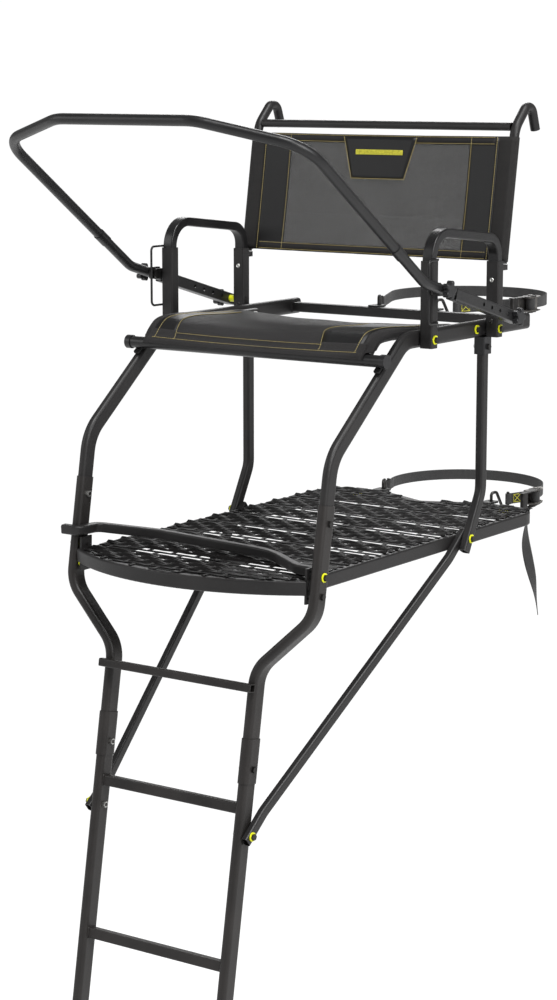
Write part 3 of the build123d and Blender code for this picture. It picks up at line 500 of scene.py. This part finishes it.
# a plain trapezoid patch hangs from the top hem
patch_top, patch_bottom, patch_tall = 96 * MM, 70 * MM, 92 * MM
patch_head = cloth_tall - 6 * MM
patch_foot = patch_head - patch_tall
patch_rows = []
patch_steps, patch_columns = 12, 16
for i in range(patch_steps + 1):
    height = patch_head - patch_tall * i / patch_steps
    half = patch_top + (patch_bottom - patch_top) * i / patch_steps
    xs = [-half + 2 * half * j / patch_columns for j in range(patch_columns + 1)]
    patch_rows.append([back_point(x, back_depth(x, height) - 3.6 * MM, height) for x in xs])
grid_mesh("backrest_patch", patch_rows, "vinyl", thickness=1.2 * MM)
rim = [(-patch_top, patch_head), (-patch_bottom, patch_foot),
       (patch_bottom, patch_foot), (patch_top, patch_head)]
stitches("patch_rim_stitch", [back_line(rim, 4.4 * MM)], "tan_thread", radius=0.8 * MM)
stripe_low = cloth_tall - 44 * MM
stripe_half = 62 * MM
stripe_threads, thread_step = 7, 1.6 * MM
stripe = []
for k in range(stripe_threads):
    height = stripe_low + k * thread_step
    stripe.append(back_line([(-stripe_half, height), (stripe_half, height)], 4.5 * MM))
stitches("patch_stripe", stripe, "yellow_thread", radius=0.85 * MM, gap=0.4 * MM)

# ---- seat sling --------------------------------------------------------------------------------
seat_side = [
    (-372, 14.5), (-425, 15.6), (-480, 17.2), (-540, 21.4), (-592, 24.2), (-636, 23.2),
    (-664, 17.6), (-685, 2.2), (-699, -13), (-710.5, -21.8), (-714.2, -31),
]                        # y, z of the seat's top from rear to front, in mm
seat_path = smooth_curve([Vector((0, y * MM, z * MM)) for y, z in seat_side], 6)
last = len(seat_path) - 1
bar_rows = 12            # the last rows of the path lie on the front bar
hem_row = last - bar_rows
seat_half = 280 * MM
seat_wrap = 12.3 * MM    # radius of the cloth round a side tube
seat_sag = 11 * MM


def seat_frame(index):
    """The path point, and the outward normal of the seat's surface there."""
    ahead = seat_path[min(index + 1, last)] - seat_path[max(index - 1, 0)]
    return seat_path[index], Vector((0, ahead.z, -ahead.y)).normalized()


def seat_drop(x, share):
    """How far the cloth hangs below its tubes, deepest in the middle and flat at the front edge."""
    inner = 1 - (x / seat_half) ** 2
    folds = 0.8 * MM * sin(11 * x / seat_half + 7 * share) * inner
    return inner * seat_sag * (1 - share ** 4) + folds * (1 - share)


def seat_point(x, index, lift=0.0):
    """A point of the seat's cloth at x, at one index of the path, lifted off the cloth."""
    place, normal = seat_frame(index)
    return place + Vector((x, 0, 0)) + normal * (lift - seat_drop(x, index / last))


def seat_wrap_angle(share):
    """Degrees that the cloth wraps round the side tubes: fully at the rear, hardly at all in front."""
    full, least = 215, 10
    free_from, free_over = 0.62, 0.22
    if share < free_from:
        return full
    return max(least, full - (full - least) * (share - free_from) / free_over)


wrap_steps = 11
seat_columns = 56
seat_rows = []
for index in range(last + 1):
    place, normal = seat_frame(index)
    wrap = seat_wrap_angle(index / last)
    wrapped = []
    for step in range(wrap_steps + 1):
        angle = radians(90 + wrap * (1 - step / wrap_steps))
        wrapped.append((-seat_half + seat_wrap * cos(angle), seat_wrap * (sin(angle) - 1)))
    row = [place + Vector((x, 0, 0)) + normal * n for x, n in wrapped]
    row += [seat_point(-seat_half + 2 * seat_half * j / seat_columns, index) for j in range(1, seat_columns)]
    row += [place + Vector((-x, 0, 0)) + normal * n for x, n in reversed(wrapped)]
    seat_rows.append(row)
seat_sheet = grid_mesh("seat_mesh_sling", seat_rows, "seat_mesh", "seat",
                       thickness=cloth_thick)
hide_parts("seat_sling")


def seam_x(side, index):
    """The curved seam near each side of the seat, which swings sideways towards the rear."""
    away = min(1.0, max(0.0, (hem_row - index) / 34))
    if side < 0:
        return -(206 + 30 * away) * MM
    return (166 - 62 * away ** 1.5) * MM


def seat_band(name, side, lift):
    """A vinyl strip sewn on one side of the seat, from its curved seam out to the side tube."""
    outer = side * 268 * MM
    steps = 6
    strip_rows = []
    for index in range(4, last):
        x = seam_x(side, index)
        strip_rows.append([seat_point(x + (outer - x) * j / steps, index, lift) for j in range(steps + 1)])
    return grid_mesh(name, strip_rows, "vinyl", "seat", thickness=cloth_thick)


def across_seat(x_from, x_to, steps, index, lift):
    """A line of points straight across the seat."""
    return [seat_point(x_from + (x_to - x_from) * j / steps, index, lift) for j in range(steps + 1)]


for side, word in SIDES:
    seat_band(f"seat_side_band_{word}", side, 1.0 * MM)
front_rows = [across_seat(-seat_half, seat_half, 52, i, 1.3 * MM) for i in range(hem_row - 5, last + 1)]
grid_mesh("seat_front_hem", front_rows, "seat_mesh", "seat", thickness=cloth_thick)
edge_seam = 257 * MM
side_lift, hem_lift = 1.9 * MM, 2.3 * MM
seat_seams = []
for side, word in SIDES:
    seat_seams.append([seat_point(seam_x(side, i), i, side_lift) for i in range(5, hem_row + 4)])
    seat_seams.append([seat_point(side * edge_seam, i, side_lift) for i in range(5, hem_row + 4)])
seat_seams.append(across_seat(seam_x(-1, hem_row), seam_x(1, hem_row), 40, hem_row - 3, hem_lift))
seat_seams.append(across_seat(-262 * MM, 262 * MM, 60, hem_row + 3, hem_lift))
stitches("seat_seams", seat_seams, "tan_thread", "seat")

# ---- platform grate ------------------------------------------------------------------------------
grate_low, grate_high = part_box("platform_grate")
slot_pitch = 62 * MM
cells = 8                     # mesh columns to one slot and its bond
cell_x = slot_pitch / cells
row_pitch = 23.6 * MM
rows_in_band = 5              # every band has two wide open rows, then three rows of raised teeth
open_rows = 2
grate_base = grate_low[2] + 1.2 * MM
grate_edge_y = -930 * MM      # where the front starts to bow
grate_bow = 82 * MM
notch_y = 14 * MM
notch_deep = 60 * MM
notch_wide = 126 * MM
rest_x, rest_y = 90 * MM, -790 * MM      # beyond these, under the foot rest bar, the teeth are low


def inside_grate(x, y):
    """Whether the grate reaches this point: bowed at the front and notched for the trunk at the rear."""
    if abs(x) > grate_high[0]:
        return False
    if y < grate_edge_y:
        radius = (grate_high[0] ** 2 + grate_bow ** 2) / (2 * grate_bow)
        return hypot(x, y - (grate_edge_y - grate_bow + radius)) < radius
    return y < notch_y - notch_deep * max(0.0, 1 - abs(x) / notch_wide)


def strand(row):
    """Width of the row's strand, front to rear, and the height of its teeth."""
    return (7 * MM, 1.4 * MM) if row % rows_in_band < open_rows else (15 * MM, 4.8 * MM)


def tooth_height(column, row, line, x, y):
    """Height at one corner of the cells: each strand's middle line stands up between the bonds."""
    tall = strand(row)[1]
    if x > rest_x and y < rest_y:
        tall = min(tall, 2 * MM)
    shift = cells // 2 * (row % 2)
    swell = min(1.0, 1.15 * abs(sin(pi * (column + shift) / cells)))
    return (0.1, 1.0, 0.5)[line] * tall * swell


columns = int((grate_high[0] - grate_low[0]) / cell_x)
row_count = int((notch_y - grate_low[1]) / row_pitch) + 1
numbers = {}
points = []
faces = []


def grate_corner(column, row, line):
    """Number of the mesh vertex at a column and at one of the three lines of a row."""
    if line == 3:
        row, line = row + 1, 0
    key = (column, row, line)
    if key not in numbers:
        x = (column - columns / 2) * cell_x
        y = grate_low[1] + row * row_pitch + line * strand(row)[0] / 2
        numbers[key] = len(points)
        points.append((x, y, grate_base + tooth_height(column, row, line, x, y)))
    return numbers[key]


for row in range(row_count):
    width = strand(row)[0]
    middles = (width / 4, width * 3 / 4, (width + row_pitch) / 2)
    for line, middle_y in enumerate(middles):
        for column in range(columns):
            is_strand = line < 2
            is_bond = (column + cells // 2 * (row % 2)) % cells == 0
            x = (column + 0.5 - columns / 2) * cell_x
            y = grate_low[1] + row * row_pitch + middle_y
            if inside_grate(x, y) and (is_strand or is_bond):
                corners = ((column, line), (column + 1, line), (column + 1, line + 1), (column, line + 1))
                faces.append([grate_corner(c, row, k) for c, k in corners])
grate = add_mesh("platform_expanded_grate", points, faces, "grate", smooth=False)
thicken(grate, 1.8 * MM)
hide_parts("platform_grate")

# ---- webbing ---------------------------------------------------------------------------------------
tail_points = [
    (203, 141, -468),
    (199, 128, -500),
    (200, 124, -545),
    (205, 132, -592),
    (212, 143, -640),
    (218, 150, -688),
    (222, 153, -728),
]


def nurbs_path(name, route, resolution=12):
    """Points read from a smooth NURBS spline with the route as its control points, in metres."""
    curve = bpy.data.curves.new(name, "CURVE")
    curve.dimensions = "3D"
    spline = curve.splines.new("NURBS")
    spline.points.add(len(route) - 1)
    for point, place in zip(spline.points, route):
        point.co = (*[c * MM for c in place], 1)
    spline.order_u = 3
    spline.use_endpoint_u = True
    spline.resolution_u = resolution
    holder = bpy.data.objects.new(name, curve)
    scene.collection.objects.link(holder)
    graph = bpy.context.evaluated_depsgraph_get()
    mesh = bpy.data.meshes.new_from_object(holder.evaluated_get(graph))
    path = [v.co.copy() for v in mesh.vertices]
    bpy.data.objects.remove(holder)
    bpy.data.curves.remove(curve)
    bpy.data.meshes.remove(mesh)
    return path


tail_path = nurbs_path("tail_route", tail_points)
tail_width = 25 * MM
tail_rows = []
for number, place in enumerate(tail_path):
    share = number / (len(tail_path) - 1)
    turn = radians(118 - 60 * sin(pi * share) ** 2)
    across = Vector((cos(turn), sin(turn), 0.15 * sin(5 * share)))
    across.normalize()
    tail_rows.append([place + across * tail_width * (k / 6 - 0.5) for k in range(7)])
tail = grid_mesh("strap_loose_end", tail_rows, "webbing", thickness=1.5 * MM)
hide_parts("strap_tail")

trunk_y = 185 * MM
web_r = 185.8 * MM
eye_reach = 52 * MM           # from the tab's hole to the eye that the hook passes through
fold_shape = (
    (48, -1.7), (16, -1.7), (9, -3.6), (3, -5.2), (-2.4, -4.9), (-5.4, -1.7),
    (-5.4, 1.7), (-2.4, 4.9), (3, 4.4), (9, 1.6), (16, 0),
)                             # the strap folded round its eye: mm ahead of the eye and mm outwards


def strap_route(tab_x, tab_y):
    """A strap's middle line from its fold at the right eye round the trunk to its fold at the left eye.

    Also returns the right eye and the directions ahead along the strap and outwards there."""
    gap = hypot(tab_x, trunk_y - tab_y)
    heading = atan2(trunk_y - tab_y, -tab_x) - atan2(web_r, (gap ** 2 - web_r ** 2) ** 0.5)
    ahead = Vector((cos(heading), sin(heading), 0))
    out = Vector((sin(heading), -cos(heading), 0))
    eye = Vector((tab_x, tab_y, 0)) + ahead * eye_reach
    fold = smooth_curve([eye + ahead * a * MM + out * o * MM for a, o in fold_shape], 4)
    start = heading - pi / 2
    sweep = pi - 2 * start
    arc_steps = 72
    arc = []
    for k in range(arc_steps + 1):
        angle = start + sweep * k / arc_steps
        arc.append(Vector((web_r * cos(angle), trunk_y + web_r * sin(angle), 0)))
    left_fold = [Vector((-p.x, p.y, 0)) for p in reversed(fold)]
    return fold + arc + left_fold, eye, ahead, out


def webbing_band(name, route, across, width, thickness):
    """A flat webbing strap along a route."""
    strap_rows = [[place + across * width * (k / 8 - 0.5) for k in range(9)] for place in route]
    return grid_mesh(name, strap_rows, "webbing", thickness=thickness)


def box_stitch(name, centre, along, across, half_long, half_wide):
    """A sewn box with a cross in it."""
    square = ((-1, -1), (1, -1), (1, 1), (-1, 1))
    a, b, c, d = [centre + along * m * half_long + across * n * half_wide for m, n in square]
    stitches(name, [[a, b, c, d, a, c], [b, d]], "yellow_thread",
             pitch=3.6 * MM, gap=0.9 * MM, radius=0.75 * MM)


straps = (
    ("upper", 78 * MM, -90 * MM, 13.1 * MM),
    ("lower", 150 * MM, 48 * MM, -445.4 * MM),
)                             # x and y of each strap's right tab, and the height of its middle line
for level, tab_x, tab_y, strap_z in straps:
    route, eye, ahead, out = strap_route(tab_x, tab_y)
    lift = ALONG_Z * strap_z
    band = webbing_band(f"{level}_trunk_strap", [p + lift for p in route], ALONG_Z, 25 * MM, 1.3 * MM)
    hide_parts(f"{level}_strap")
    for side, word in SIDES:
        mirror = Vector((side, 1, 1))
        centre = (eye + ahead * 28 * MM + out * 1.4 * MM) * mirror + lift
        box_stitch(f"{level}_strap_stitch_{word}", centre, ahead * mirror, ALONG_Z, 11 * MM, 9 * MM)

loop_low, loop_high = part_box("webbing_loops")
loop_mid = (loop_low + loop_high) / 2
loop_half_y = (loop_high[1] - loop_low[1]) / 2
loop_half_z = (loop_high[2] - loop_low[2]) / 2
loop_corner = 5 * MM


def loop_route(x):
    """A webbing loop wound once round the rear tube, its end lapped over its start on the front face."""
    corner_y, corner_z = loop_half_y - loop_corner, loop_half_z - loop_corner
    front = loop_mid[1] - loop_half_y
    corner_steps = 6
    route = [Vector((x, front + 1.5 * MM, loop_mid[2] - corner_z + 3 * MM))]
    for corner, (sign_y, sign_z) in enumerate(((-1, 1), (1, 1), (1, -1), (-1, -1))):
        for step in range(corner_steps + 1):
            angle = pi - (corner + step / corner_steps) * pi / 2
            radius = loop_corner - (1.5 - 0.25 * corner) * MM
            route.append(Vector((x, loop_mid[1] + sign_y * corner_y + radius * cos(angle),
                                 loop_mid[2] + sign_z * corner_z + radius * sin(angle))))
    route.append(Vector((x, front + 0.5 * MM, loop_mid[2] + corner_z - 2 * MM)))
    return route


for side, word in SIDES:
    x = side * 202 * MM
    loop = webbing_band(f"tube_webbing_loop_{word}", loop_route(x), ALONG_X, 30 * MM, 0.9 * MM)
    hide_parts("webbing_loops")
    stitch_middle = Vector((x, loop_low[1] - 0.5 * MM, loop_mid[2]))
    box_stitch(f"webbing_loop_stitch_{word}", stitch_middle, ALONG_X, ALONG_Z, 11 * MM, 12 * MM)

# ---- small details ---------------------------------------------------------------------------------
def lathe(name, outline, place, axis, finish, body="root", sides=28):
    """A turned piece: radius, height pairs round an axis through place."""
    turn = Vector(axis).to_track_quat("Z", "Y")
    points, faces = [], []
    for radius, height in outline:
        for k in range(sides):
            angle = 2 * pi * k / sides
            points.append(Vector(place) + turn @ Vector((radius * cos(angle), radius * sin(angle), height)))
    for ring in range(len(outline) - 1):
        for k in range(sides):
            a, b = ring * sides + k, ring * sides + (k + 1) % sides
            faces.append((a, b, b + sides, a + sides))
    faces.append(tuple(reversed(range(sides))))
    faces.append(tuple(range((len(outline) - 1) * sides, len(outline) * sides)))
    return add_mesh(name, points, faces, finish, body)


def button_head(name, place, axis, radius, finish):
    """A domed screw head with a socket in it."""
    dome = [(radius, 0.0), (radius, 0.25), (radius * 0.92, 0.5), (radius * 0.7, 0.78), (radius * 0.5, 0.88),
            (radius * 0.46, 0.84), (radius * 0.42, 0.3)]
    return lathe(name, [(r, h * radius * 0.62) for r, h in dome], place, axis, finish)


post_face_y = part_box("armrest_posts")[1][1] - 25 * MM      # front face of the rear posts
post_screws = (
    ("post_screw", 105 * MM, "bright", "bright_steel"),
    ("post_low_screw", 17 * MM, "dark", "dark_steel"),
)
for side, word in SIDES:
    for kind, z, finish, slot in post_screws:
        place = (side * 335.8 * MM, post_face_y, z)
        button_head(f"{kind}_{word}", place, (0, -1, 0), 5 * MM, finish)


def webbing_roll(name, middle, body):
    """Turns of webbing wound on a spool, which show as steps on the roll's two ends."""
    half = 12.4 * MM
    turns = 5
    end_steps = []
    for k in range(turns + 1):
        end_steps.append(((7.4 + 3.4 * k / turns) * MM, half - 0.5 * MM * (k % 2)))
    outline = [(radius, -height) for radius, height in end_steps] + end_steps[::-1]
    lathe(name, outline, middle, (0, 0, 1), "webbing", body)


for level in ("upper", "lower"):
    spool_low, spool_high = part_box(f"{level}_ratchet_spool")
    webbing_roll(f"{level}_webbing_roll", (spool_low + spool_high) / 2, f"{level}_spool")


def weld_beads(name, rings, finish):
    """Wavy weld beads along closed rings of points."""
    curve = round_curve(name, 1.5 * MM, 2)
    for ring in rings:
        spline = curve.splines.new("POLY")
        spline.points.add(len(ring) - 1)
        for k, (point, place) in enumerate(zip(spline.points, ring)):
            point.co = (*place, 1)
            point.radius = 1.0 + 0.28 * sin(2.1 * k)
        spline.use_cyclic_u = True
    return add_curve(name, curve, finish)


def square_ring(place, across, up_way, half_wide, half_tall):
    """Points round a square tube's end, evenly spaced."""
    steps = 9
    corners = [(-1, -1), (1, -1), (1, 1), (-1, 1)]
    ring = []
    for (a0, b0), (a1, b1) in zip(corners, corners[1:] + corners[:1]):
        for k in range(steps):
            a, b = a0 + (a1 - a0) * k / steps, b0 + (b1 - b0) * k / steps
            ring.append(Vector(place) + Vector(across) * a * half_wide + Vector(up_way) * b * half_tall)
    return ring


lean = 0.176                  # the ladder leans this much of its height
ladder_y, ladder_z = -906 * MM, -442 * MM      # a point on the ladder's middle line
rung_half = (184 - 11) * MM   # from the middle to a rail's inner face
rung_tube = 11.2 * MM         # half a rung's width
rung_across = Vector((0, 1, -lean)).normalized()
rung_up = Vector((0, lean, 1)).normalized()
rung_rings = []
for number in range(10):
    z = (-921 - 319 * number) * MM
    y = ladder_y + lean * (z - ladder_z)
    for side in (-1, 1):
        rung_rings.append(square_ring((side * rung_half, y, z), rung_across, rung_up, rung_tube, rung_tube))
weld_beads("rung_welds", rung_rings, "ladder")
cross_low, cross_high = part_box("rear_cross_bar")
cross_mid = (cross_low + cross_high) / 2
cross_half = (cross_high[2] - cross_low[2]) / 2 + 0.2 * MM
cross_rings = []
for side in (-1, 1):
    bar_end = (side * cross_high[0], cross_mid[1], cross_mid[2])
    cross_rings.append(square_ring(bar_end, (0, 1, 0), (0, 0, 1), cross_half, cross_half))
weld_beads("cross_bar_welds", cross_rings, "frame")

# ---- floor, light and camera ---------------------------------------------------------------------
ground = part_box("ladder_feet")[0][2]
floor_mesh = bpy.data.meshes.new("floor")
reach = 60.0
floor_square = ((-1, -1), (1, -1), (1, 1), (-1, 1))
floor_mesh.from_pydata([(a * reach, b * reach, ground) for a, b in floor_square], [], [(0, 1, 2, 3)])
floor = bpy.data.objects.new("floor", floor_mesh)
scene.collection.objects.link(floor)
paving = Shader("pale_floor", (0.95, 0.95, 0.95), 0.95)
paving.drive("Base Color", paving.ramp(paving.noise(0.8, 4.0), (0.945, 0.945, 0.945), (0.955, 0.955, 0.955)))
floor_mesh.materials.append(paving.material)

world = bpy.data.worlds.new("studio")
scene.world = world
world.use_nodes = True
sky = world.node_tree.nodes["Background"]
sky.inputs["Color"].default_value = (1.0, 1.0, 1.0, 1)
seen = world.node_tree.nodes.new("ShaderNodeLightPath").outputs["Is Camera Ray"]
strength = world.node_tree.nodes.new("ShaderNodeMath")
strength.operation = "MULTIPLY_ADD"
strength.inputs[1].default_value = 0.74      # added where the camera sees the sky, so that it is white
strength.inputs[2].default_value = 0.28      # what lights the object
world.node_tree.links.new(seen, strength.inputs[0])
world.node_tree.links.new(strength.outputs["Value"], sky.inputs["Strength"])


def soft_light(name, place, target, size, power):
    """A square area light aimed at a target."""
    data = bpy.data.lights.new(name, "AREA")
    data.size = size
    data.energy = power
    lamp = bpy.data.objects.new(name, data)
    lamp.location = place
    lamp.rotation_euler = (Vector(target) - Vector(place)).to_track_quat("-Z", "Y").to_euler()
    scene.collection.objects.link(lamp)


centre = (0, -0.6, -0.2)
soft_light("key", (4.2, -1.6, 2.2), centre, 2.4, 190)
soft_light("fill", (-3.6, -4.0, 1.8), centre, 2.6, 55)
soft_light("rim", (-2.4, 3.4, 2.6), centre, 2.0, 90)

sun_data = bpy.data.lights.new("overhead", "SUN")
sun_data.energy = 2.9
sun_data.angle = radians(14)
sun = bpy.data.objects.new("overhead", sun_data)
sun.rotation_euler = (radians(14), radians(20), 0)
scene.collection.objects.link(sun)

camera_down, camera_turn = 10.13, 35      # degrees below the level, and to the right of the front
camera_data = bpy.data.cameras.new("camera")
camera_data.sensor_width = 36
camera_data.lens = 86.09
camera_data.clip_end = 200
camera = bpy.data.objects.new("camera", camera_data)
camera.location = (2.9037, -4.7532, 0.5424)
camera.rotation_euler = (radians(90 - camera_down), 0, radians(camera_turn))
scene.collection.objects.link(camera)
scene.camera = camera
scene.view_settings.view_transform = "Standard"
